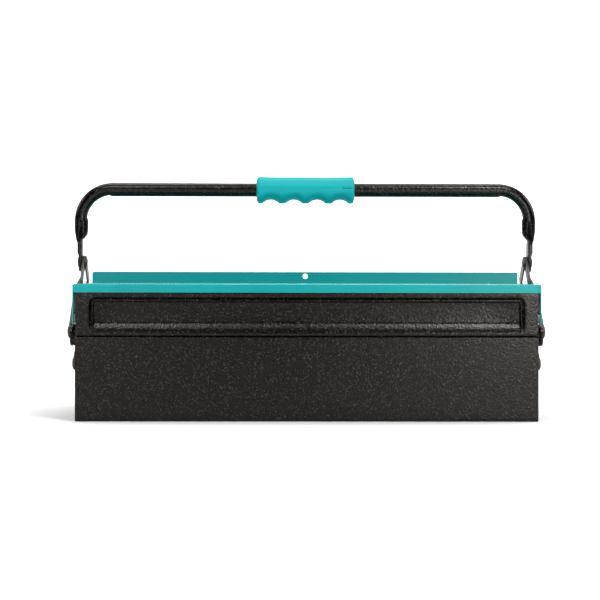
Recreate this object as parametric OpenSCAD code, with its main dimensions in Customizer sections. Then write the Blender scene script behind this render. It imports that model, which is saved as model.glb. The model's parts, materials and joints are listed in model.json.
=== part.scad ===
// Cantilever tool box: a base tub, two trays on parallel swing arms, a lid hinged to each tray,
// and one tubular carrying handle on a pair of leg links at each end.
// Millimetres, +Z up, origin at the centre of the base's underside.
// +X is the right-hand end, -Y is the front.

/* [Overall size] */
// Length of the base, end face to end face
box_length = 384; // [320:2:460]
// Depth of the base, front face to rear face
box_depth = 198; // [184:2:214]
// Height of the base tub
base_height = 70; // [62:1:84]
// Height of each tray
tray_height = 42; // [38:1:54]
// Height of the handle bar's centre above its pivot
handle_rise = 63.5; // [63.5:0.5:80]

/* [Sheet metal] */
// Thickness of the base sheet
base_sheet = 0.9; // [0.7:0.1:1.2]
// Thickness of the tray sheet
tray_sheet = 0.8; // [0.6:0.1:0.9]
// Thickness of the lid sheet
lid_sheet = 0.8; // [0.6:0.1:0.8]
// Outside radius of the folds along the bottom edges
fold_radius = 2.5; // [2:0.1:4]
// Width of the flanges on the end plates
flange_width = 8; // [6:0.5:9]
// Height of the folded hem inside each top edge
hem_height = 6; // [4:0.5:8]

/* [Pressed front panel] */
// Distance from each end of the tray to the panel
panel_inset = 11.2; // [10.8:0.2:20]
// Depth of the pressed panel
panel_depth = 3.6; // [2:0.2:5]
// Height of the panel's lower edge above the tray's underside
panel_low = 4.2; // [3.5:0.1:6]
// Height of the panel's broad lower slope
panel_slope = 8.3; // [5:0.1:11]
// Distance from the panel's upper edge down from the tray's top
panel_top = 9.8; // [9:0.1:14]

/* [Lids] */
// Depth of the flange folded down round each lid
lid_flange = 7.1; // [5:0.1:8]
// Height of the upright locking flange along the inner edge
ridge_height = 10; // [8:0.5:14]
// Distance from the locking flange's end to the box's end
ridge_inset = 5; // [4:0.5:20]
// Radius of the hole for a padlock
lock_radius = 2.25; // [2:0.05:3]

/* [Swing arms] */
// Width of each arm
arm_width = 11; // [10:0.5:12]
// Thickness of each arm
arm_sheet = 1.5; // [1.2:0.1:1.6]
// Radius of the pivot pins
pin_radius = 2.5; // [2:0.1:3]
// Radial running clearance of each pivot
pivot_fit = 0.06; // [0.03:0.01:0.1]
// Radial clearance of the inner arms' upper pivots
open_fit = 0.2; // [0.1:0.05:0.3]

/* [Handle] */
// Outside radius of the handle tube
tube_radius = 6; // [5.5:0.1:6]
// Wall of the handle tube
tube_wall = 1.2; // [1:0.1:1.6]
// Radius of the handle's bends, at the tube's centre
bend_radius = 27; // [24:1:30]
// Length of the grip
grip_length = 86; // [84:1:120]
// Radius of the grip
grip_radius = 12; // [11:0.25:12.5]
// Depth of the finger notches
notch_depth = 3.5; // [2:0.25:4.5]
// Thickness of each leg link
link_sheet = 1.5; // [1.3:0.1:1.8]
// Width of each leg link
link_width = 11; // [9:0.5:11]

/* [Hidden] */
$fn = 40;

half_x = box_length / 2;
half_y = box_depth / 2;

// Heights of the stack
tray_z = base_height + 0.4;
tray_top = tray_z + tray_height;
lid_under = tray_top + 0.8;
lid_top = lid_under + lid_sheet;

// Layers at each end, counted outward from the base's end face
tray_x = half_x - 0.3;
arm_x = half_x + 0.5;
arm_head_x = arm_x + arm_sheet + 0.1;
lid_x = half_x + 1.3;
lid_head_x = lid_x + lid_sheet + 0.1;
head_height = 1;
yoke_x = arm_x + 1.6 + head_height + 0.3;
yoke_sheet = 2;
link_low_x = yoke_x + yoke_sheet;
link_rear_x = half_x;
link_front_x = link_rear_x + link_sheet;
tab_x = link_front_x + link_sheet + 0.2;
tab_sheet = 3.4;
leg_x = half_x + 4.5;
head_radius = 4.5;

// Swing arms, as distances in Y from the middle and heights
arm_out_y = half_y - 9;
arm_pitch = 32;
arm_in_y = arm_out_y - arm_pitch;
arm_low_z = base_height - 22;
tray_pivot_z = tray_z + 5.6;
arm_reach = arm_in_y - 8;
arm_rise = tray_pivot_z - arm_low_z;
arm_length = norm([arm_reach, arm_rise]);
arm_angle = atan2(arm_rise, arm_reach);

// Lid hinge
tray_gap = 0.5;
lid_gap = 0.4;
lid_front_y = half_y + 1.1;
hinge_y = half_y - 5.5;
hinge_z = tray_top - 26.4;
notch_y = 42;

// Handle and its links
handle_z = lid_top + 18.5;
link_foot_y = half_y - 19;
link_foot_z = base_height + 4;
link_length = norm([link_foot_y, handle_z - link_foot_z]);
link_angle = atan2(handle_z - link_foot_z, link_foot_y);
link_pin = 3;
tab_radius = 8.5;
yoke_foot_z = 24;
crimp_low = 16.5;
crimp_high = 28;

// The rear pieces are the front ones turned half round
module rear_side() rotate([0, 0, 180]) children();

module left_end() mirror([1, 0, 0]) children();

module both_ends() {
    children();
    mirror([1, 0, 0]) children();
}

// A profile drawn in Y and Z and run along X, from x1 to x2
module along_x(x1, x2) translate([x1, 0, 0]) rotate([90, 0, 90]) linear_extrude(x2 - x1) children();

// A disc with its axis along X
module disc_x(x1, x2, y, z, r) translate([x1, y, z]) rotate([0, 90, 0]) cylinder(r = r, h = x2 - x1);

// A channel section, open at the top, with both lower corners rounded
module tub_section(y1, y2, z1, z2, r) {
    translate([y1 + r, z1]) square([y2 - y1 - 2 * r, z2 - z1]);
    translate([y1, z1 + r]) square([y2 - y1, z2 - z1 - r]);
    for (y = [y1 + r, y2 - r]) translate([y, z1 + r]) circle(r);
}

// A folded sheet seen in section: the channel less its inside
module sheet_section(y1, y2, z1, z2, r, t) difference() {
    tub_section(y1, y2, z1, z2, r);
    tub_section(y1 + t, y2 - t, z1 + t, z2 + 1, r - t);
}

// An end plate: a panel that fills the channel, with flanges folded inward along its edges
module end_plate(x, y1, y2, z1, z2, r, t) {
    along_x(x - t, x) tub_section(y1 + t, y2 - t, z1 + t, z2, r - t);
    along_x(x - flange_width, x) sheet_section(y1 + t, y2 - t, z1 + t, z2, r - t, t * 0.6);
}

// A hem folded down inside a top edge
module hem(x, y, z, t, s) along_x(-x, x) {
    translate([s > 0 ? y : y - t, z - hem_height]) square([t, hem_height]);
}

// Takes the square corner off a top edge; s points from the edge into the sheet
module rim_cut(x, y, z, t, s) along_x(-x - 1, x + 1) difference() {
    translate([s > 0 ? y - 0.1 : y - t, z - t]) square([t + 0.1, t + 0.1]);
    translate([y + s * t, z - t]) circle(t);
}

// Both long walls of a channel, hemmed and rounded along their top edges
module rolled_walls(x, y1, y2, z1, z2, t) difference() {
    union() {
        along_x(-x, x) sheet_section(y1, y2, z1, z2, fold_radius, t);
        hem(x - flange_width - 1, y1 + t, z2, t, 1);
        hem(x - flange_width - 1, y2 - t, z2, t, -1);
    }
    for (edge = [[y1, 1], [y1 + 2 * t, -1], [y2, -1], [y2 - 2 * t, 1]])
        rim_cut(x, edge[0], z2, t, edge[1]);
}

// ---- Base ----

module base_tub() color([0.10, 0.10, 0.11])
    rolled_walls(half_x, -half_y, half_y, 0, base_height, base_sheet);

module base_end() difference() {
    union() {
        end_plate(half_x, -half_y, half_y, 0, base_height, fold_radius, base_sheet);
        translate([half_x - flange_width, -half_y + base_sheet, base_height - base_sheet])
            cube([flange_width, 2 * (half_y - base_sheet), base_sheet]);
    }
    for (s = [-1, 1]) {
        for (y = [arm_out_y, arm_in_y]) disc_x(half_x - 2, half_x + 1, s * y, arm_low_z, pin_radius);
        for (z = [yoke_foot_z, yoke_foot_z + 14])
            disc_x(half_x - 2, half_x + 1, s * 22, z, pin_radius);
    }
}

module base_end_right() color([0.10, 0.10, 0.11]) base_end();

module base_end_left() color([0.10, 0.10, 0.11]) left_end() base_end();

// A pin fixed in a plate whose outer face is at x, with its head from h outward
module pin(x, t, y, z, h) {
    disc_x(x - t - 0.8, x - t, y, z, pin_radius + 1.2);
    disc_x(x - t, h, y, z, pin_radius);
    disc_x(h, h + head_height * 0.4, y, z, head_radius);
    translate([h + head_height * 0.4, y, z]) rotate([0, 90, 0])
        cylinder(r1 = head_radius, r2 = head_radius - 1.4, h = head_height * 0.6);
}

module washer(x1, x2, y, z) difference() {
    disc_x(x1, x2, y, z, head_radius);
    disc_x(x1 - 1, x2 + 1, y, z, pin_radius);
}

module base_arm_pins() color([0.55, 0.55, 0.56]) both_ends() for (s = [-1, 1])
    for (y = [arm_out_y, arm_in_y]) pin(half_x, base_sheet, s * y, arm_low_z, arm_head_x);

module base_arm_washers() color([0.62, 0.62, 0.63]) both_ends() for (s = [-1, 1])
    for (y = [arm_out_y, arm_in_y]) washer(half_x, arm_x - 0.1, s * y, arm_low_z);

// ---- End yokes and leg links: the fixed frame that carries the handle ----

// A plate standing off each end of the base, reaching out to the feet of both links
module yoke_outline() {
    translate([-link_foot_y, link_foot_z - 12]) square([2 * link_foot_y, 18]);
    for (s = [-1, 1]) translate([s * link_foot_y, link_foot_z - 3]) circle(9);
    translate([-30, yoke_foot_z]) square([60, link_foot_z - yoke_foot_z]);
    translate([-24, yoke_foot_z - 6]) square([48, 12]);
    for (s = [-1, 1]) translate([s * 24, yoke_foot_z]) circle(6);
}

module yoke() difference() {
    along_x(yoke_x, yoke_x + yoke_sheet) yoke_outline();
    for (s = [-1, 1]) {
        disc_x(yoke_x - 1, yoke_x + 4, s * link_foot_y, link_foot_z, link_pin);
        for (z = [yoke_foot_z, yoke_foot_z + 14])
            disc_x(yoke_x - 1, yoke_x + 4, s * 22, z, pin_radius);
    }
    disc_x(yoke_x - 1, yoke_x + 4, 0, yoke_foot_z + 32, 9);
}

module end_yoke_right() color([0.13, 0.13, 0.14]) yoke();

module end_yoke_left() color([0.13, 0.13, 0.14]) left_end() yoke();

module yoke_spacers() color([0.50, 0.50, 0.51]) both_ends() for (s = [-1, 1])
    for (z = [yoke_foot_z, yoke_foot_z + 14]) difference() {
        disc_x(half_x, yoke_x, s * 22, z, 5);
        disc_x(half_x - 1, yoke_x + 1, s * 22, z, pin_radius);
    }

module yoke_rivets() color([0.55, 0.55, 0.56]) both_ends() for (s = [-1, 1])
    for (z = [yoke_foot_z, yoke_foot_z + 14])
        pin(half_x, base_sheet, s * 22, z, yoke_x + yoke_sheet);

// A link seen from its edge: flat at the handle, cranked out past the lid's end, flat at the foot
module link_profile(x) polygon([[x, 6], [x, -31], [link_low_x, -46], [link_low_x, -link_length - 6],
    [link_low_x + link_sheet, -link_length - 6], [link_low_x + link_sheet, -45],
    [x + link_sheet, -30], [x + link_sheet, 6]]);

// Drawn with its length along Y, then swung down to its foot
module leg_link(x) translate([0, 0, handle_z]) rotate([link_angle, 0, 0]) difference() {
    intersection() {
        translate([0, 0, -link_width]) linear_extrude(2 * link_width) link_profile(x);
        along_x(x - 2, link_low_x + 4) {
            translate([-link_length, -link_width / 2]) square([link_length, link_width]);
            circle(link_width / 2);
            translate([-link_length, 0]) circle(link_width / 2);
        }
    }
    disc_x(x - 1, x + 4, 0, 0, link_pin);
    disc_x(link_low_x - 1, link_low_x + 4, -link_length, 0, link_pin);
}

module leg_link_front_right() color([0.36, 0.35, 0.34]) leg_link(link_front_x);

module leg_link_front_left() color([0.36, 0.35, 0.34]) left_end() leg_link(link_front_x);

module leg_link_rear_right() color([0.36, 0.35, 0.34]) mirror([0, 1, 0]) leg_link(link_rear_x);

module leg_link_rear_left() color([0.36, 0.35, 0.34]) rear_side() leg_link(link_rear_x);

module leg_link_rivets() color([0.55, 0.55, 0.56]) both_ends() for (s = [-1, 1]) {
    disc_x(yoke_x, link_low_x + link_sheet, s * link_foot_y, link_foot_z, link_pin);
    disc_x(link_low_x + link_sheet, link_low_x + link_sheet + 0.6, s * link_foot_y, link_foot_z, 4.6);
    translate([link_low_x + link_sheet + 0.6, s * link_foot_y, link_foot_z]) rotate([0, 90, 0])
        cylinder(r1 = 4.6, r2 = 3, h = 0.7);
}

module handle_rivets() color([0.55, 0.55, 0.56]) both_ends() {
    translate([link_rear_x - 1.2, 0, handle_z]) rotate([0, 90, 0])
        cylinder(r1 = 3, r2 = 4.4, h = 0.7);
    disc_x(link_rear_x - 0.5, link_rear_x, 0, handle_z, 4.4);
    disc_x(link_rear_x, tab_x + tab_sheet + 0.1, 0, handle_z, link_pin);
    disc_x(tab_x + tab_sheet + 0.1, tab_x + tab_sheet + 0.6, 0, handle_z, 4.6);
    translate([tab_x + tab_sheet + 0.6, 0, handle_z]) rotate([0, 90, 0])
        cylinder(r1 = 4.6, r2 = 3, h = 0.8);
}

// ---- Swing arms ----

// An arm of a tray at the front, its lower pivot at distance y from the middle
module swing_arm(y, fit) translate([0, -y, arm_low_z]) rotate([arm_angle, 0, 0]) difference() {
    along_x(arm_x, arm_x + arm_sheet) {
        translate([0, -arm_width / 2]) square([arm_length, arm_width]);
        circle(arm_width / 2);
        translate([arm_length, 0]) circle(arm_width / 2);
    }
    disc_x(arm_x - 1, arm_x + 3, 0, 0, pin_radius + pivot_fit);
    disc_x(arm_x - 1, arm_x + 3, arm_length, 0, pin_radius + fit);
}

module outer_arm() swing_arm(arm_out_y, pivot_fit);

module inner_arm() swing_arm(arm_in_y, open_fit);

module front_arm_outer_right() color([0.20, 0.20, 0.21]) outer_arm();

module front_arm_outer_left() color([0.20, 0.20, 0.21]) left_end() outer_arm();

module front_arm_inner_right() color([0.20, 0.20, 0.21]) inner_arm();

module front_arm_inner_left() color([0.20, 0.20, 0.21]) left_end() inner_arm();

module rear_arm_outer_right() color([0.20, 0.20, 0.21]) mirror([0, 1, 0]) outer_arm();

module rear_arm_outer_left() color([0.20, 0.20, 0.21]) rear_side() outer_arm();

module rear_arm_inner_right() color([0.20, 0.20, 0.21]) mirror([0, 1, 0]) inner_arm();

module rear_arm_inner_left() color([0.20, 0.20, 0.21]) rear_side() inner_arm();

// ---- Trays ----

// Soft S-shaped step from 0 to 1, for the panel's broad lower slope
function soft(u) = (1 - cos(180 * u)) / 2;

// The panel's hollow in section across its height, grown by g
module panel_height_section(g) polygon(concat(
    [[-half_y - 5, tray_z + panel_low - g], [-half_y, tray_z + panel_low - g]],
    [for (i = [0:8]) [-half_y + g + soft(i / 8) * panel_depth,
        tray_z + panel_low - g * 0.7 + panel_slope * i / 8]],
    [[-half_y + g + panel_depth, tray_top - panel_top - 2],
    [-half_y + g, tray_top - panel_top + g * 0.7], [-half_y, tray_top - panel_top + g],
    [-half_y - 5, tray_top - panel_top + g]]));

// The same along its length
module panel_length_section(g) polygon([
    [-tray_x + panel_inset - g, -half_y - 5], [-tray_x + panel_inset - g, -half_y],
    [-tray_x + panel_inset - g * 0.5, -half_y + g],
    [-tray_x + panel_inset + 3, -half_y + g + panel_depth],
    [tray_x - panel_inset - 3, -half_y + g + panel_depth],
    [tray_x - panel_inset + g * 0.5, -half_y + g],
    [tray_x - panel_inset + g, -half_y], [tray_x - panel_inset + g, -half_y - 5]]);

module panel_hollow(g) intersection() {
    along_x(-tray_x, tray_x) panel_height_section(g);
    translate([0, 0, tray_z]) linear_extrude(tray_height) panel_length_section(g);
}

module tray() difference() {
    union() {
        rolled_walls(tray_x, -half_y, -tray_gap, tray_z, tray_top, tray_sheet);
        intersection() {
            panel_hollow(tray_sheet);
            translate([-half_x, -half_y + tray_sheet / 2, 0]) cube([box_length, 20, 200]);
        }
    }
    panel_hollow(0);
}

module tray_end() difference() {
    union() {
        end_plate(tray_x, -half_y, -tray_gap, tray_z, tray_top, fold_radius, tray_sheet);
        translate([tray_x - flange_width, -half_y + tray_sheet, tray_top - tray_sheet])
            cube([flange_width, half_y - tray_gap - 2 * tray_sheet, tray_sheet]);
    }
    for (y = [arm_out_y, arm_in_y])
        disc_x(tray_x - 2, tray_x + 1, arm_reach - y, tray_pivot_z, pin_radius);
    disc_x(tray_x - 2, tray_x + 1, -hinge_y, hinge_z, pin_radius);
}

module tray_pins() both_ends() {
    for (y = [arm_out_y, arm_in_y])
        pin(tray_x, tray_sheet, arm_reach - y, tray_pivot_z, arm_head_x);
    pin(tray_x, tray_sheet, -hinge_y, hinge_z, lid_head_x);
}

module tray_washers() both_ends() for (y = [arm_out_y, arm_in_y])
    washer(tray_x, arm_x - 0.1, arm_reach - y, tray_pivot_z);

module lid_washers() both_ends() washer(tray_x, lid_x - 0.1, -hinge_y, hinge_z);

module front_tray() color([0.10, 0.10, 0.11]) tray();

module front_tray_end_right() color([0.10, 0.10, 0.11]) tray_end();

module front_tray_end_left() color([0.10, 0.10, 0.11]) left_end() tray_end();

module front_tray_pins() color([0.55, 0.55, 0.56]) tray_pins();

module front_tray_washers() color([0.62, 0.62, 0.63]) tray_washers();

module front_lid_washers() color([0.62, 0.62, 0.63]) lid_washers();

module rear_tray() color([0.10, 0.10, 0.11]) rear_side() tray();

module rear_tray_end_right() color([0.10, 0.10, 0.11]) mirror([0, 1, 0]) tray_end();

module rear_tray_end_left() color([0.10, 0.10, 0.11]) rear_side() tray_end();

module rear_tray_pins() color([0.55, 0.55, 0.56]) rear_side() tray_pins();

module rear_tray_washers() color([0.62, 0.62, 0.63]) rear_side() tray_washers();

module rear_lid_washers() color([0.62, 0.62, 0.63]) rear_side() lid_washers();

// ---- Lids ----

// A block with a rounded upper front edge, and its own kind along the ends
module lid_block(x, y, z, r) intersection() {
    along_x(-x, x) {
        translate([-y + r, lid_top - 20]) square([y - r - lid_gap, z - lid_top + 20]);
        translate([-y, lid_top - 20]) square([r + 1, z - lid_top + 20 - r]);
        translate([-y + r, z - r]) circle(r);
    }
    rotate([90, 0, 0]) linear_extrude(y + 5) {
        translate([-x + r, lid_top - 20]) square([2 * (x - r), z - lid_top + 20]);
        translate([-x, lid_top - 20]) square([2 * x, z - lid_top + 20 - r]);
        for (s = [-1, 1]) translate([s * (x - r), z - r]) circle(r);
    }
}

// The plate that reaches down past the tray's end to the hinge pin
module lid_ear() difference() {
    along_x(lid_x, lid_x + lid_sheet) hull() {
        translate([-lid_front_y, lid_top - lid_flange]) square([40, 2]);
        translate([-hinge_y, hinge_z]) circle(lid_front_y - hinge_y);
    }
    disc_x(lid_x - 1, lid_x + 3, -hinge_y, hinge_z, pin_radius + pivot_fit);
}

// The folded sheet of the lid: its top, and the flange folded down round it
module lid_shell() difference() {
    lid_block(lid_x + lid_sheet, lid_front_y, lid_top, 1.8);
    lid_block(lid_x, lid_front_y - lid_sheet, lid_under, 1);
    translate([-half_x - 10, -lid_front_y - 5, lid_top - 30])
        cube([box_length + 20, lid_front_y + 5, 30 - lid_flange]);
}

// The lid between its end plates, with the locking flange along its inner edge
module lid() difference() {
    union() {
        intersection() {
            lid_shell();
            translate([-tray_x, -lid_front_y - 1, 0]) cube([2 * tray_x, lid_front_y + 1, lid_top + 1]);
        }
        ridge();
    }
    translate([0, 1, lid_top + ridge_height * 0.62]) rotate([90, 0, 0])
        cylinder(r = lock_radius, h = 4);
}

// The end plate welded along each end of the lid, which stops short of the leg links
module lid_end() {
    intersection() {
        lid_shell();
        translate([tray_x, -lid_front_y - 1, 0]) cube([20, lid_front_y + 1 - notch_y, lid_top + 1]);
    }
    lid_ear();
}

// The upright locking flange, with rounded ends and a soft fold at its foot
module ridge() {
    ridge_x = half_x - ridge_inset;
    translate([0, -lid_gap, 0]) rotate([90, 0, 0]) linear_extrude(lid_sheet) {
        translate([-ridge_x, lid_under]) square([2 * ridge_x, ridge_height + lid_sheet - 2]);
        translate([-ridge_x + 2, lid_under]) square([2 * ridge_x - 4, ridge_height + lid_sheet]);
        for (s = [-1, 1]) translate([s * (ridge_x - 2), lid_top + ridge_height - 2]) circle(2);
    }
    along_x(-ridge_x, ridge_x) difference() {
        translate([-lid_gap - lid_sheet - 1.2, lid_top - 0.1]) square([1.3, 1.3]);
        translate([-lid_gap - lid_sheet - 1.2, lid_top + 1.2]) circle(1.2);
    }
}

module front_lid() color([0.11, 0.64, 0.65]) lid();

module front_lid_end_right() color([0.11, 0.64, 0.65]) lid_end();

module front_lid_end_left() color([0.11, 0.64, 0.65]) left_end() lid_end();

module rear_lid() color([0.11, 0.64, 0.65]) rear_side() lid();

module rear_lid_end_right() color([0.11, 0.64, 0.65]) mirror([0, 1, 0]) lid_end();

module rear_lid_end_left() color([0.11, 0.64, 0.65]) rear_side() lid_end();

// ---- Handle ----

// The tube's path: two legs, two bends and the bar, as a solid of radius r
module handle_path(r, low) {
    bar_z = handle_z + handle_rise;
    both_ends() {
        translate([leg_x, 0, low]) cylinder(r = r, h = bar_z - bend_radius - low);
        translate([leg_x - bend_radius, 0, bar_z - bend_radius]) rotate([90, 0, 0])
            rotate_extrude(angle = 90) translate([bend_radius, 0]) circle(r);
    }
    translate([-leg_x + bend_radius, 0, bar_z]) rotate([0, 90, 0])
        cylinder(r = r, h = 2 * (leg_x - bend_radius));
}

// The flattened end, as seen along X
module tab_outline() {
    translate([-tab_radius, 0]) square([2 * tab_radius, crimp_low + 0.2]);
    circle(tab_radius);
}

// The half-flattened section midway down the crimp
module crimp_waist() translate([leg_x + 0.2, 0, handle_z + crimp_low + 5.5])
    scale([0.82, 1.16, 1]) cylinder(r = tube_radius, h = 0.2, $fn = 48);

module handle_tube() color([0.12, 0.12, 0.13]) difference() {
    union() {
        handle_path(tube_radius, handle_z + crimp_high);
        both_ends() {
            hull() {
                translate([leg_x, 0, handle_z + crimp_high]) cylinder(r = tube_radius, h = 0.2, $fn = 48);
                crimp_waist();
            }
            hull() {
                crimp_waist();
                translate([tab_x, -tab_radius, handle_z + crimp_low]) cube([tab_sheet, 2 * tab_radius, 0.4]);
            }
            translate([0, 0, handle_z]) along_x(tab_x, tab_x + tab_sheet) tab_outline();
        }
    }
    handle_path(tube_radius - tube_wall, handle_z + crimp_high + 1);
    both_ends() {
        // the crease on each side where the tube is pressed flat
        for (s = [-1, 1]) translate([leg_x + 0.2, s * 8, handle_z]) {
            translate([0, 0, crimp_low + 1]) cylinder(r1 = 3.2, r2 = 1.6, h = 23);
            translate([0, 0, crimp_low - 3]) cylinder(r1 = 0.4, r2 = 3.2, h = 4);
        }
        // the narrow slit left between the two flattened walls
        translate([tab_x + tab_sheet / 2 - 0.2, -3.5, handle_z - 10]) cube([0.4, 7, crimp_high + 14]);
        disc_x(tab_x - 1, tab_x + 5, 0, handle_z, link_pin + pivot_fit);
    }
}

module handle_grip() color([0.11, 0.64, 0.65])
    translate([0, 0, handle_z + handle_rise]) difference() {
        rotate([0, 90, 0]) rotate([0, 0, 90]) rotate_extrude() {
            translate([0, -grip_length / 2]) square([grip_radius - 2.5, grip_length]);
            translate([0, -grip_length / 2 + 2.5]) square([grip_radius, grip_length - 5]);
            for (s = [-1, 1]) translate([grip_radius - 2.5, s * (grip_length / 2 - 2.5)]) circle(2.5);
        }
        translate([-grip_length, 0, 0]) rotate([0, 90, 0])
            cylinder(r = tube_radius, h = 2 * grip_length);
        for (i = [-1.5:1:1.5]) {
            r = (64 + notch_depth * notch_depth) / (2 * notch_depth);
            translate([i * 20.3, 20, -grip_radius + notch_depth - r]) rotate([90, 0, 0])
                cylinder(r = r, h = 40);
        }
    }

base_tub();
base_end_right();
base_end_left();
end_yoke_right();
end_yoke_left();
yoke_spacers();
yoke_rivets();
leg_link_front_right();
leg_link_front_left();
leg_link_rear_right();
leg_link_rear_left();
leg_link_rivets();
handle_rivets();
base_arm_pins();
base_arm_washers();
front_arm_outer_right();
front_arm_outer_left();
front_arm_inner_right();
front_arm_inner_left();
rear_arm_outer_right();
rear_arm_outer_left();
rear_arm_inner_right();
rear_arm_inner_left();
front_tray();
front_tray_end_right();
front_tray_end_left();
front_tray_pins();
front_tray_washers();
front_lid_washers();
front_lid();
front_lid_end_right();
front_lid_end_left();
rear_tray();
rear_tray_end_right();
rear_tray_end_left();
rear_tray_pins();
rear_tray_washers();
rear_lid_washers();
rear_lid();
rear_lid_end_right();
rear_lid_end_left();
handle_tube();
handle_grip();
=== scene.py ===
# %% [markdown]
# # A cantilever tool box
# The box is a folded steel base with two trays on swing arms, a lid on each tray and one tubular
# handle. The CAD frame holds every part at its true size, so this lesson gives the parts their
# finishes, rounds the edges that catch the light, and remodels the moulded and pressed pieces that
# need softer curves than the CAD has. It starts by loading the frame and keeping its size.

# %% Load the frame
import json
import math
import bmesh
import bpy
from mathutils import Matrix, Vector


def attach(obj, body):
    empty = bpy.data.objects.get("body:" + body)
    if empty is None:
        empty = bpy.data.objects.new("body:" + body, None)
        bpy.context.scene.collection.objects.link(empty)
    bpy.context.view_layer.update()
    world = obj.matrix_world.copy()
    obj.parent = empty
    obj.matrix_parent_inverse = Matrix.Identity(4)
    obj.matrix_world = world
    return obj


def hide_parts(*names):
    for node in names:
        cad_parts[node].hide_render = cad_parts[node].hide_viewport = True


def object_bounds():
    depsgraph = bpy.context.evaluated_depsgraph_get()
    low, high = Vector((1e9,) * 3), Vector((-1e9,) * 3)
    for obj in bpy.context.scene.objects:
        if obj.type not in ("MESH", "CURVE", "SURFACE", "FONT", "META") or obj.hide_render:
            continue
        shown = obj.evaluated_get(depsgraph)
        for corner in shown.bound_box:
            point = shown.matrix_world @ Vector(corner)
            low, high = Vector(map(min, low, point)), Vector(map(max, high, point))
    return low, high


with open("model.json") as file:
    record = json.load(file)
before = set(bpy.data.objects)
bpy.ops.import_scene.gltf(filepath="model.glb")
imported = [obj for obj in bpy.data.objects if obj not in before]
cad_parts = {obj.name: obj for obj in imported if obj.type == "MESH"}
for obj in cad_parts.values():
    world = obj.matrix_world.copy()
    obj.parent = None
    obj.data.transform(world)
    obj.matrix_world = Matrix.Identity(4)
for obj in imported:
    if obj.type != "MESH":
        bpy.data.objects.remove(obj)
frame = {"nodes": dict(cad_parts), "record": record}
cad_low, cad_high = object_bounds()
print("frame box", [round(v, 4) for v in cad_low], [round(v, 4) for v in cad_high])

# %% [markdown]
# ## Camera
# The photograph looks at the box from the front, almost level, from a little to the left. A long
# lens keeps the ends of the box close to parallel. The place and turn of the camera were fitted to
# the corners of the base, the lid and the handle, with no lens shift.

# %% Set the camera
PHOTO_SIZE, SENSOR_MM = 600, 36.0
focal_px = 1879.8
camera_place = (-0.0283, -1.6534, 0.1240)
camera_data = bpy.data.cameras.new("photo_camera")
camera_data.sensor_width = SENSOR_MM
camera_data.lens = focal_px / PHOTO_SIZE * SENSOR_MM
camera_data.clip_end = 50.0
camera = bpy.data.objects.new("photo_camera", camera_data)
bpy.context.collection.objects.link(camera)
bpy.context.scene.camera = camera
pitch, yaw, roll = math.radians(-0.853), math.radians(-0.822), math.radians(-0.098)
# the camera's own axes: across, forward and up, turned by yaw, pitch and roll
turn = Matrix.Rotation(yaw, 3, "Z") @ Matrix.Rotation(pitch, 3, "X") @ Matrix.Rotation(roll, 3, "Y")
across, forward, up = turn.col[0], turn.col[1], turn.col[2]
axes = Matrix((across, up, -forward)).transposed()
camera.matrix_world = Matrix.Translation(camera_place) @ axes.to_4x4()
print("lens", round(camera_data.lens, 1), "mm")

# %% [markdown]
# ## The backdrop
# The photograph is a studio shot on plain white. A studio gets such an even ground from a roll of
# paper that lies on the floor and curves up behind the object, so that no corner shows. Its side
# outline is a few points, extruded sideways. The two glow settings make the far paper and the open
# studio beyond it look white from every side, but only where the camera sees them directly. The
# paper's glow lights nothing, and the studio gives the box very little light.

# %% Backdrop sheet
paper_side, paper_front, curve_start, curve_r, wall_top = 4.0, -6.0, 1.5, 1.2, 5.0
CURVE_STEPS = 12

def new_verts(grown):
    """The vertices among what an operator made."""
    return [v for v in grown["geom"] if isinstance(v, bmesh.types.BMVert)]

def backdrop():
    bm = bmesh.new()
    rail = [bm.verts.new((-paper_side, paper_front, 0.0)), bm.verts.new((-paper_side, curve_start, 0.0))]
    for i in range(1, CURVE_STEPS + 1):
        a = math.pi / 2 * i / CURVE_STEPS
        rail.append(bm.verts.new((-paper_side, curve_start + curve_r * math.sin(a),
                                  curve_r - curve_r * math.cos(a))))
    rail.append(bm.verts.new((-paper_side, curve_start + curve_r, wall_top)))
    edges = [bm.edges.new((a, b)) for a, b in zip(rail, rail[1:])]
    grown = bmesh.ops.extrude_edge_only(bm, edges=edges)
    bmesh.ops.translate(bm, verts=new_verts(grown), vec=(2 * paper_side, 0.0, 0.0))
    bmesh.ops.recalc_face_normals(bm, faces=bm.faces)
    mesh = bpy.data.meshes.new("backdrop")
    bm.to_mesh(mesh)
    bm.free()
    mesh.shade_smooth()
    piece = bpy.data.objects.new("backdrop", mesh)
    bpy.context.collection.objects.link(piece)
    return piece

floor = backdrop()
print("backdrop", 2 * paper_side, "m wide")

# %% Paper that looks white
def seen_glow(tree, socket, near, far):
    """The paper glows more the farther it is from the box, but only for the camera's own rays."""
    where = tree.nodes.new("ShaderNodeTexCoord")
    reach = tree.nodes.new("ShaderNodeVectorMath")
    reach.operation = "LENGTH"
    tree.links.new(where.outputs["Object"], reach.inputs[0])
    fade = tree.nodes.new("ShaderNodeMapRange")
    fade.inputs["From Min"].default_value = near
    fade.inputs["From Max"].default_value = far
    tree.links.new(reach.outputs["Value"], fade.inputs["Value"])
    ray = tree.nodes.new("ShaderNodeLightPath")
    only = tree.nodes.new("ShaderNodeMath")
    only.operation = "MULTIPLY"
    tree.links.new(fade.outputs["Result"], only.inputs[0])
    tree.links.new(ray.outputs["Is Camera Ray"], only.inputs[1])
    tree.links.new(only.outputs["Value"], socket)

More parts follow.
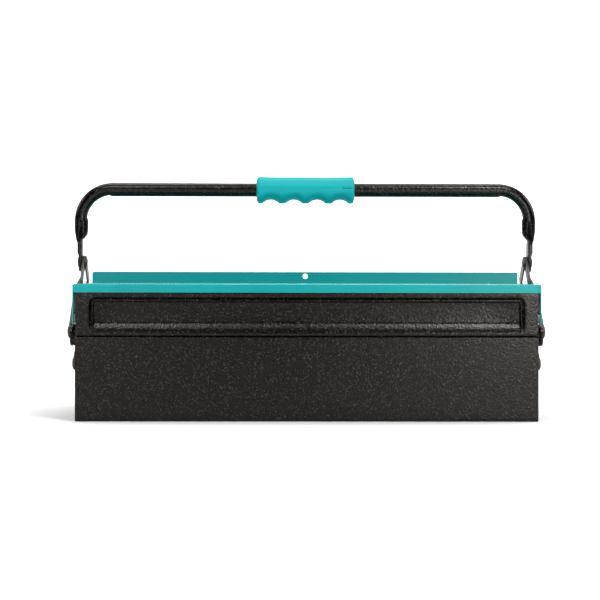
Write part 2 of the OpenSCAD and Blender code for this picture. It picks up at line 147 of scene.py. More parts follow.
paper = bpy.data.materials.new("backdrop_paper")
paper.use_nodes = True
sheet_shader = paper.node_tree.nodes["Principled BSDF"]
sheet_shader.inputs["Base Color"].default_value = (0.90, 0.90, 0.90, 1)
sheet_shader.inputs["Roughness"].default_value = 0.85
sheet_shader.inputs["Emission Color"].default_value = (1, 1, 1, 1)
seen_glow(paper.node_tree, sheet_shader.inputs["Emission Strength"], near=0.6, far=2.6)
floor.data.materials.append(paper)
print("finish of the backdrop:", paper.name)

# %% Studio beyond the paper
world = bpy.data.worlds.new("studio")
bpy.context.scene.world = world
world.use_nodes = True
studio = world.node_tree
studio_glow = studio.nodes["Background"]
studio_glow.inputs["Color"].default_value = (1, 1, 1, 1)
ray = studio.nodes.new("ShaderNodeLightPath")
strength = studio.nodes.new("ShaderNodeMapRange")
light_given, light_seen = 0.04, 1.0
strength.inputs["To Min"].default_value = light_given
strength.inputs["To Max"].default_value = light_seen
studio.links.new(ray.outputs["Is Camera Ray"], strength.inputs["Value"])
studio.links.new(strength.outputs["Result"], studio_glow.inputs["Strength"])
print("studio gives", light_given, "and looks", light_seen)

# %% [markdown]
# ## Light
# A black coat shows only what it reflects, so each lamp is placed by what it does to the coat. The
# two low ones beside the camera brighten the left and right ends of the flat fronts, the right more
# than the left. The two high ones in front light the slope under the panel. One above lights the
# lids and one lights the wall of the backdrop. The last three stand at the ends and the back, which
# would be black in the other views without them.

# %% Soft lamps
box_centre = (0, 0, 0.1)

def softbox(name, place, size, power, aim=box_centre):
    """An area lamp: its place and aim in metres, its width and height, and its power in watts."""
    lamp = bpy.data.lights.new(name, "AREA")
    lamp.shape = "RECTANGLE"
    lamp.size, lamp.size_y = size
    lamp.energy = power
    holder = bpy.data.objects.new(name, lamp)
    bpy.context.collection.objects.link(holder)
    way = Vector(aim) - Vector(place)
    holder.matrix_world = Matrix.Translation(place) @ way.to_track_quat("-Z", "Y").to_matrix().to_4x4()
    return holder

bpy.context.scene.view_settings.view_transform = "Standard"
lamps = [
    softbox("high_left_softbox", (-0.40, -0.95, 1.35), (0.34, 0.40), 6.8),
    softbox("left_softbox", (-0.42, -1.40, 0.30), (0.30, 0.36), 1.6),
    softbox("right_softbox", (0.48, -1.40, 0.28), (0.34, 0.36), 5.4),
    softbox("high_right_softbox", (0.46, -0.95, 1.38), (0.34, 0.40), 13.5),
    softbox("top_softbox", (0, 0.2, 1.9), (1.8, 1.0), 10),
    softbox("wall_light", (0, 0.6, 2.4), (3.0, 0.8), 70, aim=(0, 2.7, 1.0)),
    softbox("right_end_softbox", (1.25, 0.25, 0.75), (0.6, 0.6), 5),
    softbox("left_end_softbox", (-1.25, 0.25, 0.75), (0.6, 0.6), 4),
    softbox("back_softbox", (0.25, 1.45, 1.00), (0.8, 0.5), 6)]
print(len(lamps), "soft lamps")

# %% [markdown]
# ## Finishes
# The base, the trays and the handle have a black powder coat baked with a fine leather-like texture.
# The lids and the grip are a smooth blue-green. The links and arms are thinner coated steel, and the
# rivets are plated. An image of such a coat would stretch over the folds, so each finish is a small
# node tree that reads Object coordinates, and its pattern stays on the metal as the metal moves.
# These helpers make the nodes. Every finish varies its tone and gloss and has a bump of its own.

# %% Node helpers
def new_finish(name):
    finish = bpy.data.materials.new(name)
    finish.use_nodes = True
    tree = finish.node_tree
    return finish, tree, tree.nodes["Principled BSDF"], tree.nodes.new("ShaderNodeTexCoord")

def place_node(tree, kind, vector=None, **settings):
    """A new node. A setting that names a socket fills it, and any other setting is the node's own."""
    node = tree.nodes.new(kind)
    for key, value in settings.items():
        if key in node.inputs:
            node.inputs[key].default_value = value
        else:
            setattr(node, key, value)
    if vector is not None:
        tree.links.new(vector, node.inputs["Vector"])
    return node

def colour_ramp(tree, source, stops):
    ramp = tree.nodes.new("ShaderNodeValToRGB")
    tree.links.new(source, ramp.inputs["Fac"])
    while len(ramp.color_ramp.elements) < len(stops):
        ramp.color_ramp.elements.new(0.5)
    for element, (at, colour) in zip(ramp.color_ramp.elements, stops):
        element.position = at
        element.color = (*colour, 1)
    return ramp

def vary_gloss(tree, shader, source, least, most):
    """Roughness that follows a pattern between two values."""
    gloss = tree.nodes.new("ShaderNodeMapRange")
    gloss.inputs["To Min"].default_value = least
    gloss.inputs["To Max"].default_value = most
    tree.links.new(source, gloss.inputs["Value"])
    tree.links.new(gloss.outputs["Result"], shader.inputs["Roughness"])

def raise_bumps(tree, shader, source, strength, distance):
    bump = place_node(tree, "ShaderNodeBump", Strength=strength, Distance=distance)
    tree.links.new(source, bump.inputs["Height"])
    tree.links.new(bump.outputs["Normal"], shader.inputs["Normal"])

print("node helpers ready")

# %% [markdown]
# ## Worn edges with a painted highlight
# A coat wears first on the corners that get knocked, and never evenly. Further down, the softened
# parts carry a number that is 1 on their bevels and 0 elsewhere. This helper multiplies it by a
# ragged noise and mixes a paler tone in by the result. That paler tone is partly the worn coat and
# partly a painted highlight, which stands for the light that the rounded edges catch.

# %% Worn edges with a painted highlight
def wear_and_highlight_edges(tree, shader, tone, worn_highlight_tone, where, amount):
    mark = tree.nodes.new("ShaderNodeAttribute")
    mark.attribute_name = "edge_wear_and_highlight"
    ragged_noise = place_node(tree, "ShaderNodeTexNoise", where, Scale=170.0, Detail=3.0, Roughness=0.6)
    ragged = tree.nodes.new("ShaderNodeMapRange")
    ragged.inputs["From Min"].default_value, ragged.inputs["From Max"].default_value = 0.42, 0.62
    ragged.inputs["To Max"].default_value = amount
    tree.links.new(ragged_noise.outputs["Fac"], ragged.inputs["Value"])
    much = place_node(tree, "ShaderNodeMath", operation="MULTIPLY")
    tree.links.new(ragged.outputs["Result"], much.inputs[0])
    tree.links.new(mark.outputs["Fac"], much.inputs[1])
    mix = place_node(tree, "ShaderNodeMix", data_type="RGBA")
    # a Mix node has one pair of sockets per data type, so the colour pair is picked by its type
    colours = [socket for socket in mix.inputs if socket.type == "RGBA"]
    result = [socket for socket in mix.outputs if socket.type == "RGBA"][0]
    tree.links.new(much.outputs["Value"], mix.inputs["Factor"])
    tree.links.new(tone.outputs["Color"], colours[0])
    colours[1].default_value = (*worn_highlight_tone, 1)
    tree.links.new(result, shader.inputs["Base Color"])

print("wear helper ready")

# %% [markdown]
# ## The black coat
# Seen close, the powder coat is leathery: rounded cells with folds between them, about a
# millimetre and a half across. Pale specks are painted into its colour here and there, as painted
# glints of light. Cells and folds make the bump. The bump has to stay low, because a strong one
# turns every face to the same grey and loses the soft gradient from end to end. A slight warm tint
# takes the blue out of the highlights.

# %% Textured black powder coat
WARM_BLACK = (1.0, 0.93, 0.86, 1)

def textured_black(name, level, painted_glints):
    finish, tree, shader, coords = new_finish(name)
    where = coords.outputs["Object"]
    cells = place_node(tree, "ShaderNodeTexVoronoi", where, feature="SMOOTH_F1", Scale=680.0)
    folds = place_node(tree, "ShaderNodeTexNoise", where, Scale=760.0, Detail=1.0, Roughness=0.5)
    patches = place_node(tree, "ShaderNodeTexNoise", where, Scale=14.0, Detail=2.0, Roughness=0.5)
    glint_specks = place_node(tree, "ShaderNodeTexVoronoi", where, feature="F1", Scale=1020.0)
    height = place_node(tree, "ShaderNodeMath", operation="ADD")
    tree.links.new(cells.outputs["Distance"], height.inputs[0])
    tree.links.new(folds.outputs["Fac"], height.inputs[1])
    # each speck has a random colour of its own, and its red says how pale its painted glint is
    own = tree.nodes.new("ShaderNodeSeparateColor")
    tree.links.new(glint_specks.outputs["Color"], own.inputs["Color"])
    palest_glint = (0.030 * painted_glints, 0.0253 * painted_glints, 0.0215 * painted_glints)
    tone = colour_ramp(tree, own.outputs["Red"], [
        (0.55, (0.0002, 0.0001, 0.0001)), (0.82, (0.0020, 0.0015, 0.0010)), (1.00, palest_glint)])
    # the paler tone on the bevels is worn coat and a painted highlight
    wear_and_highlight_edges(tree, shader, tone, (0.060, 0.054, 0.048), where, 0.8)
    vary_gloss(tree, shader, patches.outputs["Fac"], 0.20, 0.27)
    raise_bumps(tree, shader, height.outputs["Value"], 0.85, 0.00015)
    shader.inputs["Specular IOR Level"].default_value = level
    shader.inputs["Specular Tint"].default_value = WARM_BLACK
    return finish

black_coat = textured_black("textured_black_coat", level=0.25, painted_glints=1.0)
tube_coat = textured_black("textured_black_tube", level=0.27, painted_glints=0.8)
print("black coats:", black_coat.name, tube_coat.name)

# %% [markdown]
# ## The blue-green coat and plastic
# The lids' coat is smooth, with the faint ripple that painters call orange peel, and its tone and
# gloss drift slowly over the sheet. The grip's plastic is the same tree, a little paler and duller.

# %% Smooth blue-green
def smooth_teal(name, colour, rough, level):
    finish, tree, shader, coords = new_finish(name)
    where = coords.outputs["Object"]
    peel = place_node(tree, "ShaderNodeTexNoise", where, Scale=260.0, Detail=2.0, Roughness=0.5)
    drift = place_node(tree, "ShaderNodeTexNoise", where, Scale=9.0, Detail=2.0, Roughness=0.5)
    shade = tuple(v * 0.90 for v in colour)
    tone = colour_ramp(tree, drift.outputs["Fac"], [(0.35, shade), (0.65, colour)])
    # a paler teal on the bevels: worn coat and a painted highlight
    worn_highlight_teal = tuple(min(1.0, v * 1.25 + 0.03) for v in colour)
    wear_and_highlight_edges(tree, shader, tone, worn_highlight_teal, where, 0.7)
    vary_gloss(tree, shader, drift.outputs["Fac"], rough - 0.04, rough + 0.05)
    raise_bumps(tree, shader, peel.outputs["Fac"], 0.08, 0.0003)
    shader.inputs["Specular IOR Level"].default_value = level
    return finish

teal_coat = smooth_teal("teal_lid_coat", (0.007, 0.310, 0.315), 0.25, 0.14)
teal_plastic = smooth_teal("teal_grip_plastic", (0.005, 0.370, 0.388), 0.36, 0.14)
print("blue-greens:", teal_coat.name, teal_plastic.name)

# %% [markdown]
# ## The links and the rivets
# Links, arms and rivets are steel with a fine drawn grain. A Mapping node scales two axes of the
# coordinates down, which draws the noise out along them into a grain. The links and arms have a
# thin grey-brown coat, and the rivets are bare plated metal.

# %% Coated links and plated rivets
WARM_STEEL = (1.0, 0.93, 0.87, 1)

def brushed(name, colour, rough, metallic):
    finish, tree, shader, coords = new_finish(name)
    where = coords.outputs["Object"]
    stretch = place_node(tree, "ShaderNodeMapping", where, Scale=(1.0, 0.25, 0.25))
    grain = place_node(tree, "ShaderNodeTexNoise", stretch.outputs["Vector"], Scale=900.0, Detail=3.0,
                       Roughness=0.6)
    drift = place_node(tree, "ShaderNodeTexNoise", where, Scale=60.0, Detail=3.0, Roughness=0.6)
    dark = tuple(v * 0.85 for v in colour)
    tone = colour_ramp(tree, drift.outputs["Fac"], [(0.35, dark), (0.65, colour)])
    # a paler steel on the bevels: worn coat and a painted highlight
    worn_highlight_tone = tuple(min(1.0, v * 1.8) for v in colour)
    wear_and_highlight_edges(tree, shader, tone, worn_highlight_tone, where, 0.5)
    vary_gloss(tree, shader, grain.outputs["Fac"], rough - 0.06, rough + 0.10)
    raise_bumps(tree, shader, grain.outputs["Fac"], 0.12, 0.0002)
    shader.inputs["Metallic"].default_value = metallic
    shader.inputs["Specular IOR Level"].default_value = 0.32
    shader.inputs["Specular Tint"].default_value = WARM_STEEL
    return finish

link_steel = brushed("coated_link_steel", (0.060, 0.050, 0.043), 0.32, 0.0)
plated_steel = brushed("plated_rivet_steel", (0.15, 0.145, 0.14), 0.34, 1.0)
print("steels:", link_steel.name, plated_steel.name)

# %% [markdown]
# ## A piece from a bmesh
# Every new piece is drawn at its own place in metres, so its object stays at the origin and its
# pattern stays on it. This helper turns a finished bmesh into an object, gives it a finish, lets it
# ride on its moving body and hides the plainer CAD part that it stands for.

# %% Piece helper
def make_piece(name, bm, finish, body, nodes, sharp=35):
    bmesh.ops.recalc_face_normals(bm, faces=bm.faces)
    mesh = bpy.data.meshes.new(name)
    bm.to_mesh(mesh)
    bm.free()
    mesh.shade_smooth()
    mesh.set_sharp_from_angle(angle=math.radians(sharp))
    piece = bpy.data.objects.new(name, mesh)
    bpy.context.collection.objects.link(piece)
    mesh.materials.append(finish)
    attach(piece, body)
    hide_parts(*nodes)
    print(name, len(mesh.vertices), "vertices")
    return piece

print("piece helper ready")

# %% [markdown]
# ## The handle tube
# The handle is one steel tube, bent twice, and squeezed flat at each end so that a rivet can go
# through it. Half of it is drawn: a ring at the middle of the bar is extruded along the bar, spun
# round the bend and extruded down the leg. Ring by ring the squeeze makes it narrow along X and wide
# along Y, and a crease runs down each narrow side, where the two walls fold together. The half is
# then mirrored to the other end.

# %% Handle sizes
MM = 0.001
leg_x, pivot_z, bar_z = 196.5, 132.5, 196.0
bend, tube, tube_sides = 27.0, 6.0, 96
tab_half_x, tab_half_y = 1.7, 8.5
outer_line, inner_line = 202.4, 195.2
taper, taper_from, taper_run = 1.3, 27, 7.4
# height above the pivot, half width along X and along Y, squareness, crease depth and crease width
squeeze_rows = [
    (44, 6.0, 6.0, 2.0, 0.0, 0.7), (38, 6.0, 6.0, 2.0, 0.7, 0.9),
    (32, 6.0, 6.0, 2.0, 1.4, 1.1), (27, 5.9, 6.15, 2.05, 2.1, 1.3),
    (24, 5.4, 6.5, 2.2, 2.7, 1.5), (21, 3.9, 7.1, 2.5, 3.3, 1.6),
    (19.6, 3.0, 7.5, 2.8, 3.0, 1.5), (17.6, 2.4, 8.1, 3.8, 1.6, 1.3),
    (16, 2.2, 8.4, 5.5, 0.0, 1.0), (8.5, 2.2, 8.5, 6.0, 0.0, 1.0),
    (5.5, tab_half_x, tab_half_y, 6.0, 0.0, 1.0), (0, tab_half_x, tab_half_y, 6.0, 0.0, 1.0)]
print("handle", 2 * (leg_x + tube), "mm across")

# %% Shape of the squeezed end
def clamp(t):
    return max(0.0, min(1.0, t))

def squeeze(height):
    """A straight blend between the two rows that the height lies between."""
    for high, low in zip(squeeze_rows, squeeze_rows[1:]):
        if height >= low[0]:
            t = clamp((high[0] - height) / (high[0] - low[0]))
            return [a + (b - a) * t for a, b in zip(high[1:], low[1:])]

def shape_ring(ring, height):
    """Places the vertices of one ring, each of them given with its angle round the leg."""
    half_x, half_y, square, crease, spread = squeeze(max(height, 0.0))
    if height < 0:
        half_y = math.sqrt(max(tab_half_y ** 2 - height ** 2, 0.0))
    # the outer side tapers a little on its way down, and the inner side stays clear of the links
    outer = outer_line - taper * clamp((taper_from - height) / taper_run)
    middle = max(leg_x, min(outer - half_x, inner_line + half_x))
    for vert, angle in ring:
        c, s = math.cos(angle), math.sin(angle)
        grow = (abs(c) ** square + abs(s) ** square) ** (-1 / square)
        x, y = half_x * c * grow, half_y * s * grow
        crimp = crease * math.exp(-(x / spread) ** 2) * abs(s) ** 4
        y -= math.copysign(min(crimp, abs(y)), y)
        vert.co = ((middle + x) * MM, y * MM, (pivot_z + height) * MM)

print("half widths above the tab", squeeze(44)[:2], "and at the tab", squeeze(0)[:2])

# %% Bar and bend
bar_rings, bend_steps = (45.0, 110.0, leg_x - bend), 30
flat_inside, flat_outside, flat_run = 0.17, 0.02, 0.14

def soft_step(t):
    t = clamp(t)
    return t * t * (3 - 2 * t)

def new_edges(grown):
    return [e for e in grown["geom"] if isinstance(e, bmesh.types.BMEdge)]

def half_bar(bm):
    """From a ring at the middle of the bar to the start of the bend; gives its last ring of edges."""
    made = bmesh.ops.create_circle(bm, segments=tube_sides, radius=tube * MM, cap_ends=False)
    bmesh.ops.rotate(bm, verts=made["verts"], cent=(0, 0, 0), matrix=Matrix.Rotation(math.pi / 2, 3, "Y"))
    bmesh.ops.translate(bm, verts=made["verts"], vec=(0, 0, bar_z * MM))
    edges = list(bm.edges)
    for x in bar_rings:
        grown = bmesh.ops.extrude_edge_only(bm, edges=edges)
        step = x * MM - new_verts(grown)[0].co.x
        bmesh.ops.translate(bm, verts=new_verts(grown), vec=(step, 0, 0))
        edges = new_edges(grown)
    return edges

def spin_bend(bm, edges):
    """The bend, whose inner side the bending tool flattens; gives its last ring of edges."""
    centre = Vector(((leg_x - bend) * MM, 0, (bar_z - bend) * MM))
    straight = set(bm.verts)
    corners = list(dict.fromkeys(v for e in edges for v in e.verts))
    spun = bmesh.ops.spin(bm, geom=edges + corners, cent=centre, axis=(0, 1, 0), dvec=(0, 0, 0),
                          angle=math.pi / 2, steps=bend_steps)
    for vert in [v for v in bm.verts if v not in straight]:
        turn = math.atan2(vert.co.z - centre.z, vert.co.x - centre.x)
        out = Vector((math.cos(turn), 0, math.sin(turn)))
        side = (Vector((vert.co.x, 0, vert.co.z)) - centre).dot(out) / MM - bend
        flat = soft_step(turn / flat_run) * soft_step((math.pi / 2 - turn) / flat_run)
        vert.co -= out * side * (flat_inside if side < 0 else flat_outside) * flat * MM
    return [e for e in spun["geom_last"] if isinstance(e, bmesh.types.BMEdge)]

print("bend of", bend, "mm in", bend_steps, "steps")

# %% Squeezed leg
ring_heights = [36, 34, 32.5, 31, 29.5, 28, 26.5, 25.2, 24, 23, 22, 21, 20.2, 19.5, 18.8, 18.2, 17.7,
                17.2, 16.8, 16.4, 16, 12, 8.5, 7.5, 6.5, 5.5, 2.5, 0,
                -2, -4, -5.5, -6.6, -7.4, -8.0, -8.35, -8.48]

def grow_ring(bm, edges, angles):
    """Extrudes a ring of edges. Each new vertex keeps the angle of the one that it grew from."""
    grown = bmesh.ops.extrude_edge_only(bm, edges=edges)
    ring = [(v, angles[e.other_vert(v)]) for v in new_verts(grown) for e in v.link_edges
            if e.other_vert(v) in angles]
    return new_edges(grown), ring

def squeezed_leg(bm, edges):
    angles = {v: math.atan2(v.co.y, v.co.x - leg_x * MM) for e in edges for v in e.verts}
    for height in ring_heights:
        edges, ring = grow_ring(bm, edges, angles)
        shape_ring(ring, height)
        angles = dict(ring)
    bmesh.ops.holes_fill(bm, edges=edges, sides=0)

bm = bmesh.new()
squeezed_leg(bm, spin_bend(bm, half_bar(bm)))
bmesh.ops.mirror(bm, geom=bm.verts[:] + bm.edges[:] + bm.faces[:], matrix=Matrix.Identity(4),
                 merge_dist=0.02 * MM, axis="X")
bmesh.ops.remove_doubles(bm, verts=bm.verts, dist=0.005 * MM)
make_piece("crimped_handle_tube", bm, tube_coat, "handle", ["handle_tube"])

# %% [markdown]
# ## The moulded grip
# The grip is a plastic sleeve moulded in two halves: slightly waisted along its top, with softly
# domed ends and four finger hollows underneath that fade out up its sides. A ring is extruded along
# the bar, each new ring is pushed in by the hollows, and a short parting line is pressed in near the
# right-hand end, where the two halves of the mould met.

# %% Grip sizes and hollows
grip_half, grip_r, grip_sides, bore_r, waist_depth = 43.0, 12.0, 144, tube - 0.05, 0.6
# the domed end: distance back from the end, and radius
dome_rows = [(0, 7.5), (0.35, 9.2), (0.75, 10.6), (1.2, 11.3), (1.9, 11.8), (2.8, 12.0)]
straight_half, straight_steps = 39.6, 74
hollows, hollow_step, hollow_half, hollow_depth, hollow_top = 4, 20.3, 7.6, 3.4, 1.5
seam_start, seam_end, seam_z, seam_width, seam_depth = 31, 41.4, 0.9, 0.45, 0.9

def hollow(x):
    """Depth of the finger hollows along the underside."""
    reach = min(abs(x - (i - (hollows - 1) / 2) * hollow_step) for i in range(hollows)) / hollow_half
    return hollow_depth * (1 - reach * reach) ** 1.05 if reach < 1 else 0.0

def shape_grip(ring, x, radius):
    """Places the vertices of one ring, each of them given with its angle round the bar."""
    waist = waist_depth * (1 - (x / grip_half) ** 4)
    seam = soft_step(x - seam_start) * soft_step(seam_end - x)
    for vert, angle in ring:
        y, z = radius * math.cos(angle), radius * math.sin(angle)
        if z > 0:
            z -= waist * z / grip_r
        else:
            z += hollow(x) * soft_step((hollow_top - z) / (grip_r + hollow_top)) ** 1.4
        if y < 0:
            y += seam_depth * seam * math.exp(-((z - seam_z) / seam_width) ** 2)
        vert.co = (x * MM, y * MM, (bar_z + z) * MM)

print("hollow", hollow(hollow_step / 2), "mm deep at its middle")

# %% Grip
def grip_sleeve():
    bm = bmesh.new()
    made = bmesh.ops.create_circle(bm, segments=grip_sides, radius=tube * MM, cap_ends=False)
    ring = [(v, math.atan2(v.co.y, v.co.x)) for v in made["verts"]]
    shape_grip(ring, -grip_half, bore_r)
    angles, edges = dict(ring), list(bm.edges)
    along = [(back - grip_half, radius) for back, radius in dome_rows]
    along += [(-straight_half + 2 * straight_half * i / straight_steps, grip_r)
              for i in range(straight_steps + 1)]
    along += [(grip_half - back, radius) for back, radius in reversed(dome_rows)] + [(grip_half, bore_r)]
    for x, radius in along:
        edges, ring = grow_ring(bm, edges, angles)
        shape_grip(ring, x, radius)
        angles = dict(ring)
    # the bore joins both ends
    bmesh.ops.bridge_loops(bm, edges=[e for e in bm.edges if e.is_boundary])
    return bm

make_piece("moulded_finger_grip", grip_sleeve(), teal_plastic, "handle",
           ["handle_grip"], sharp=60)

# %% [markdown]
# ## Rivets and pins
# Each pivot is a plated pin with a domed head. A head is a few points of its profile spun round the
# pin's axis, so it shines with one round highlight, and it stays within the CAD head it stands for.

# %% Pin places and sizes
# places along Y and Z
arm_out, arm_in, arm_low = 90.0, 58.0, 48.0
tray_out, tray_in, tray_low, hinge_y, hinge_z = 40.0, 8.0, 76.0, 93.5, 86.0
foot_y, foot_z, yoke_y, yoke_heights = 80, 74.0, 22, (24.0, 38.0)
# places along X: the outer faces of the base's and the trays' ends, and where the heads start
base_end, base_sheet, tray_end, sheet = 192.0, 0.9, 191.7, 0.8
arm_head, lid_head, yoke_head, foot_inner, foot_head, pivot_head = 194.1, 194.2, 197.4, 195.4, 198.9, 198.7
pin_r, pin_head_r, pin_head_high = 2.5, 4.5, 1.0
rivet_r, rivet_head_r, rivet_head_high = 3.0, 4.6, 1.3
dome_edge, dome_steps, spin_steps = 0.25, 5, 28
print("pin heads", 2 * pin_head_r, "mm and rivet heads", 2 * rivet_head_r, "mm wide")

# %% Profiles of the pins
def dome(start, height, radius):
    """A low domed head: its flat underside's rim, a short straight edge, then an arc to the axis."""
    turns = [math.pi / 2 * i / dome_steps for i in range(dome_steps)]
    bow = [(start + dome_edge + (height - dome_edge) * math.sin(a), radius * math.cos(a)) for a in turns]
    return [(start, radius)] + bow + [(start + height, 0.0)]

def pin_profile(face, thick, head):
    """A pin through a sheet whose outer face is at face, with its domed head from head outward."""
    inner = face - thick
    tail = [(inner - 0.8, 0.0), (inner - 0.8, 3.1), (inner - 0.2, 3.7), (inner, 3.7), (inner, pin_r)]
    return tail + [(head, pin_r)] + dome(head, pin_head_high, pin_head_r)

arm_pin = pin_profile(base_end, base_sheet, arm_head)
yoke_pin = pin_profile(base_end, base_sheet, yoke_head)
tray_pin = pin_profile(tray_end, sheet, arm_head)
lid_pin = pin_profile(tray_end, sheet, lid_head)
foot = [(foot_inner, 0.0), (foot_inner, rivet_r), (foot_head, rivet_r)]
foot += dome(foot_head, rivet_head_high, rivet_head_r)
# the handle's rivet also has a flat head on its inner side
pivot = [(190.8, 0.0), (190.9, 1.6), (191.15, 2.9), (191.5, 4.0), (191.8, 4.4), (base_end, 4.4)]
pivot += [(base_end, rivet_r), (pivot_head, rivet_r)] + dome(pivot_head, rivet_head_high, rivet_head_r)
print(len(arm_pin), "points in a pin's profile,", len(pivot), "in the handle rivet's")

# %% Pins
def spun_pin(bm, profile, y, z):
    """Spins a profile of (distance along X, radius) points, given in mm, round a pin's axis."""
    points = [bm.verts.new((x * MM, (y + r) * MM, z * MM)) for x, r in profile]
    edges = [bm.edges.new(pair) for pair in zip(points, points[1:])]
    bmesh.ops.spin(bm, geom=points + edges, cent=(0, y * MM, z * MM), axis=(1, 0, 0), dvec=(0, 0, 0),
                   angle=2 * math.pi, steps=spin_steps, use_merge=True)

def pin_set(name, pins, body, node):
    """All the pins of one node: a list of (profile, y, z), each at both ends of the box."""
    bm = bmesh.new()
    for profile, y, z in pins:
        spun_pin(bm, profile, y, z)
    bmesh.ops.remove_doubles(bm, verts=bm.verts, dist=0.002 * MM)
    copied = bmesh.ops.duplicate(bm, geom=bm.verts[:] + bm.edges[:] + bm.faces[:])
    bmesh.ops.scale(bm, vec=(-1, 1, 1), verts=new_verts(copied))
    make_piece(name, bm, plated_steel, body, [node], sharp=40)

both = (-1, 1)
pin_set("base_arm_pins_domed", [(arm_pin, s * y, arm_low) for s in both for y in (arm_out, arm_in)],
        "base", "base_arm_pins")
for side, s in (("front", -1), ("rear", 1)):
    pins = [(tray_pin, s * y, tray_low) for y in (tray_out, tray_in)] + [(lid_pin, s * hinge_y, hinge_z)]
    pin_set(side + "_tray_pins_domed", pins, side + "_tray_box", side + "_tray_pins")
pin_set("yoke_rivets_domed", [(yoke_pin, s * yoke_y, z) for s in both for z in yoke_heights],
        "base", "yoke_rivets")
pin_set("leg_link_rivets_domed", [(foot, s * foot_y, foot_z) for s in both], "base", "leg_link_rivets")
pin_set("handle_rivets_domed", [(pivot, 0, pivot_z)], "base", "handle_rivets")

# %% [markdown]
# ## The trays with their pressed panel
# Each tray is one sheet, folded up into two walls whose top edges are hemmed. A long panel is pressed
# into the outer wall. Along its bottom the metal slopes back broadly and catches the light; along its
# top and ends the step is steep, with a small bead inside it. The folded section is drawn once and
# extruded along the tray. Then the outer wall is cut into rows and columns where the press bends it,
# and its points are pushed in by the depth of the press.

# %% Tray sizes
tray_front, tray_back, tray_floor, tray_top, fold, hem_drop = -99.0, -0.5, 70.4, 112.4, 2.5, 6.0
panel_end, panel_high, panel_low, panel_slope, panel_corner = 180.8, 103.2, 73.0, 8.9, 5.0
# from the panel's edge inward: depth of a step, where it starts and how far it runs
press_steps = [(2.2, 0.0, 1.5), (-0.9, 1.6, 1.2), (2.3, 3.1, 1.7)]
curl_depth, curl_start, curl_run = 0.5, 180, 11.7
print("panel", 2 * panel_end, "by", round(panel_high - panel_low, 1), "mm")

# %% Section of the folded sheet
def arc(y, z, radius, start, stop, steps=6):
    turns = [math.radians(start + (stop - start) * i / steps) for i in range(steps + 1)]
    return [(y + radius * math.cos(a), z + radius * math.sin(a)) for a in turns]

def tray_section():
    """The outline of the sheet seen from its end: along its outer side, then back along its inner."""
    hem = tray_top - hem_drop
    f, b, lo, r = tray_front, tray_back, tray_floor, fold
    outside = [(f + 2 * sheet, hem)] + arc(f + sheet, tray_top - sheet, sheet, 0, 180)
    outside += arc(f + r, lo + r, r, 180, 270) + arc(b - r, lo + r, r, 270, 360)
    outside += arc(b - sheet, tray_top - sheet, sheet, 0, 180) + [(b - 2 * sheet, hem), (b - sheet, hem)]
    inside = arc(b - r, lo + r, r - sheet, 0, -90) + arc(f + r, lo + r, r - sheet, -90, -180)
    return outside + inside + [(f + sheet, hem)]

print(len(tray_section()), "points in the section")

# %% Depth of the press
def press(x, z):
    """How far the press pushes the wall back at x and z, in mm."""
    over_x, over_z = abs(x) - (panel_end - panel_corner), z - (panel_high - panel_corner)
    inward = min(panel_end - abs(x), panel_high - z)
    if over_x > 0 and over_z > 0:
        inward = panel_corner - math.hypot(over_x, over_z)
    if inward <= 0 or z <= panel_low:
        return 0.0
    depth = sum(deep * soft_step((inward - start) / run) for deep, start, run in press_steps)
    # the slope steepens towards its top, and a mean over a short length rounds its bends
    rises = [clamp((z - panel_low) / panel_slope + 0.05 * k) for k in range(-3, 4)]
    return depth * sum(rise ** 1.55 for rise in rises) / len(rises)

print("panel pressed in by", round(press(0, 90), 2), "mm")

# %% Fold, cut and press the trays
def cut_wall(bm, place, normal):
    """Cuts the outer wall, and nothing else, along a plane."""
    wall = [f for f in bm.faces if f.calc_center_median().y < (tray_front + 1.2) * MM]
    geom = wall + list(dict.fromkeys(e for f in wall for e in f.edges))
    geom += list(dict.fromkeys(v for f in wall for v in f.verts))
    bmesh.ops.bisect_plane(bm, geom=geom, plane_co=[c * MM for c in place], plane_no=normal, dist=1e-7)

def tray_sheet():
    bm = bmesh.new()
    points = [bm.verts.new((-tray_end * MM, y * MM, z * MM)) for y, z in tray_section()]
    edges = [bm.edges.new(pair) for pair in zip(points, points[1:] + points[:1])]
    grown = bmesh.ops.extrude_edge_only(bm, edges=edges)
    bmesh.ops.translate(bm, verts=new_verts(grown), vec=(2 * tray_end * MM, 0, 0))
    bmesh.ops.remove_doubles(bm, verts=bm.verts, dist=1e-7)
    bmesh.ops.holes_fill(bm, edges=[e for e in bm.edges if e.is_boundary], sides=0)
    # close cuts across the panel's edge and up the slope, and wide ones elsewhere
    close = [0.3 - 0.45 * i for i in range(13)]
    columns = [panel_end + cut for cut in close] + [190.5, 188.5, 186.0, 183.5, 150.0, 60.0]
    for x in columns:
        for side in both:
            cut_wall(bm, (side * x, 0, 0), (1, 0, 0))
    rows = [panel_high + cut for cut in close] + [93.0, 88.0]
    rows += [panel_low + panel_slope * (i + 0.2) / 14 for i in range(17)]
    for z in rows:
        cut_wall(bm, (0, 0, z), (0, 0, 1))
    for vert in bm.verts:
        if vert.co.y < (tray_front + 0.9) * MM:
            vert.co.y += press(vert.co.x / MM, vert.co.z / MM) * MM
            # the wall's ends curl back a little
            vert.co.y += curl_depth * MM * max(0.0, (abs(vert.co.x) / MM - curl_start) / curl_run) ** 2
    return bm

for side, turn in (("front", 0), ("rear", math.pi)):
    bm = tray_sheet()
    bmesh.ops.rotate(bm, verts=bm.verts, cent=(0, 0, 0), matrix=Matrix.Rotation(turn, 3, "Z"))
    make_piece(side + "_tray_sheet", bm, black_coat, side + "_tray_box", [side + "_tray"],
               sharp=40)

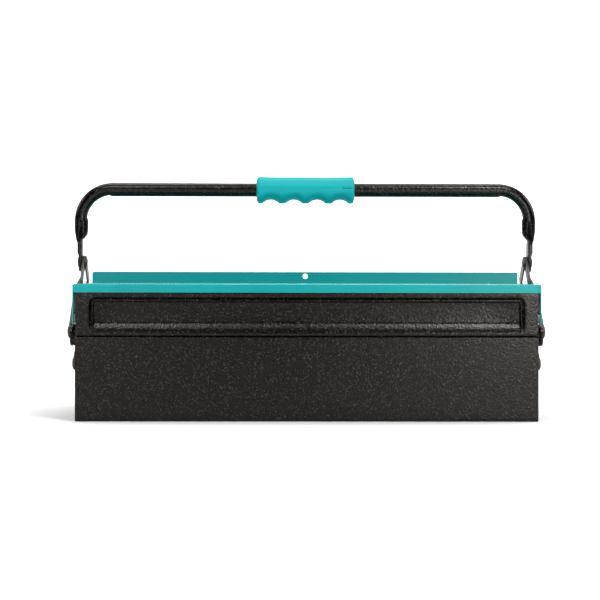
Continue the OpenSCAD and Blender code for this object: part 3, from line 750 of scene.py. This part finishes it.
# %% [markdown]
# ## Softened sheet edges
# No cut or folded edge of a coated sheet is knife sharp: the coat rounds it. Its corners get a
# lighter tone, partly where knocks have worn the coat through and partly as a painted highlight for
# the light that the rounded edges catch. The other sheets keep their CAD shape. Each is copied, its
# loose triangles are merged, and its sharp edges get a small bevel. The bevel's faces carry a number,
# which the finishes read to put the worn tone and the painted highlight there and nowhere else.
# The tub has thin rims. With a wider bevel on all its edges its ends came out pure black, so its
# bevel is narrow and runs along its length only.

# %% Soften a copy of a CAD part
sharp_edge, long_edge = 50, 100
cut_bevel, tub_bevel, plate_bevel, ring_bevel = 0.35, 0.30, 0.25, 0.12

def soft_copy(node, width, finish, along_x=False):
    bm = bmesh.new()
    bm.from_mesh(frame["nodes"][node].data)
    bmesh.ops.remove_doubles(bm, verts=bm.verts, dist=1e-6)
    bmesh.ops.dissolve_limit(bm, angle_limit=math.radians(0.6), verts=bm.verts, edges=bm.edges)
    edges = [e for e in bm.edges
             if len(e.link_faces) == 2 and e.calc_face_angle(0) > math.radians(sharp_edge)]
    if along_x:
        edges = [e for e in edges if abs(e.verts[0].co.x - e.verts[1].co.x) > long_edge * MM]
    made = bmesh.ops.bevel(bm, geom=edges, offset=width * MM, offset_type="OFFSET", segments=2, profile=0.5,
                           affect="EDGES", clamp_overlap=True, material=-1)
    # the middle one of three values keeps every vertex inside the CAD's box
    for vert in bm.verts:
        vert.co = Vector(sorted(trio)[1] for trio in zip(cad_low, vert.co, cad_high))
    # 1 on the bevels, where the finishes mix in the worn coat and a painted highlight
    bevel_mark = bm.loops.layers.float.new("edge_wear_and_highlight")
    for face in made["faces"]:
        for loop in face.loops:
            loop[bevel_mark] = 1.0
    body = next(b for b, nodes in frame["record"]["behaviour"]["bodies"].items() if node in nodes)
    piece = make_piece(node + "_soft", bm, finish, body, [node], sharp=40)
    weighted = piece.modifiers.new("even_shading", "WEIGHTED_NORMAL")
    weighted.keep_sharp = True

print("bevels of", cut_bevel, tub_bevel, plate_bevel, "and", ring_bevel, "mm")

# %% Give every CAD part its finish
slot_finish = {"black_coat": black_coat, "teal_coat": teal_coat, "grip_plastic": teal_plastic,
               "link_steel": link_steel, "pivot_steel": plated_steel}
for entry in frame["record"]["subparts"]:
    node, slot = entry["node"], entry["material_slot"]
    finish = slot_finish[slot]
    part = frame["nodes"][node]
    part.data.materials.clear()
    part.data.materials.append(finish)
    if slot in ("link_steel", "teal_coat"):
        soft_copy(node, cut_bevel, finish)
    elif node == "base_tub":
        soft_copy(node, tub_bevel, finish, along_x=True)
    elif "end_" in node:
        soft_copy(node, plate_bevel, finish)
    elif "washers" in node or "spacers" in node:
        soft_copy(node, ring_bevel, finish)
print(len(frame["nodes"]), "CAD parts finished")
